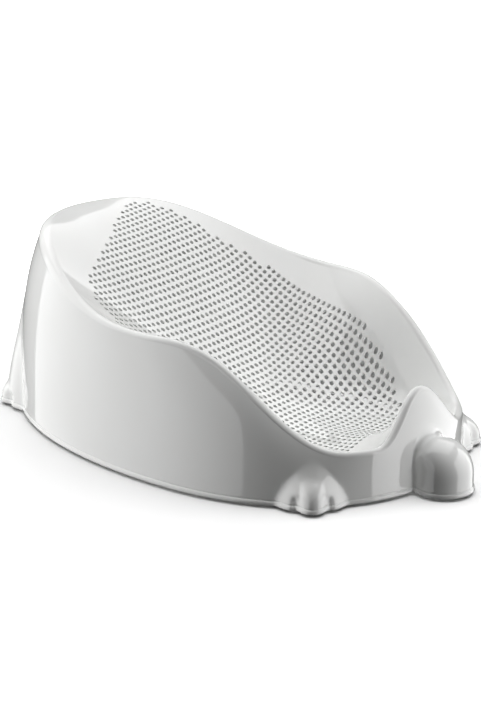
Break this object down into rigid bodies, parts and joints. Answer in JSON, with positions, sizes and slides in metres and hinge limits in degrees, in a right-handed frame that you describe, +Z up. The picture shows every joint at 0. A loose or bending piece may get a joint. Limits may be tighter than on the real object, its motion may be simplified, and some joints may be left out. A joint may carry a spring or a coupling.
{
  "type": "baby bathtub",
  "caption": "Baby bath support: one-piece moulded shell with a reclined perforated cradle, low leg dips round a pommel, a round front dome and toed feet on soft pads.",
  "frame": {"origin": "centre of the footprint's bounding box, on the surface that the pads stand on", "axes": "+X across the width, +Y towards the head end, +Z up"},
  "size_m": [0.3508, 0.5757, 0.2134],
  "materials": {
    "shell": "white polypropylene, smooth moulded gloss",
    "pads": "dark grey soft non-slip rubber"
  },
  "bodies": {
    "root": {"shell": "shell", "pad_front_left": "pads", "pad_front_right": "pads", "pad_rear_left": "pads", "pad_rear_right": "pads"}
  },
  "joints": []
}
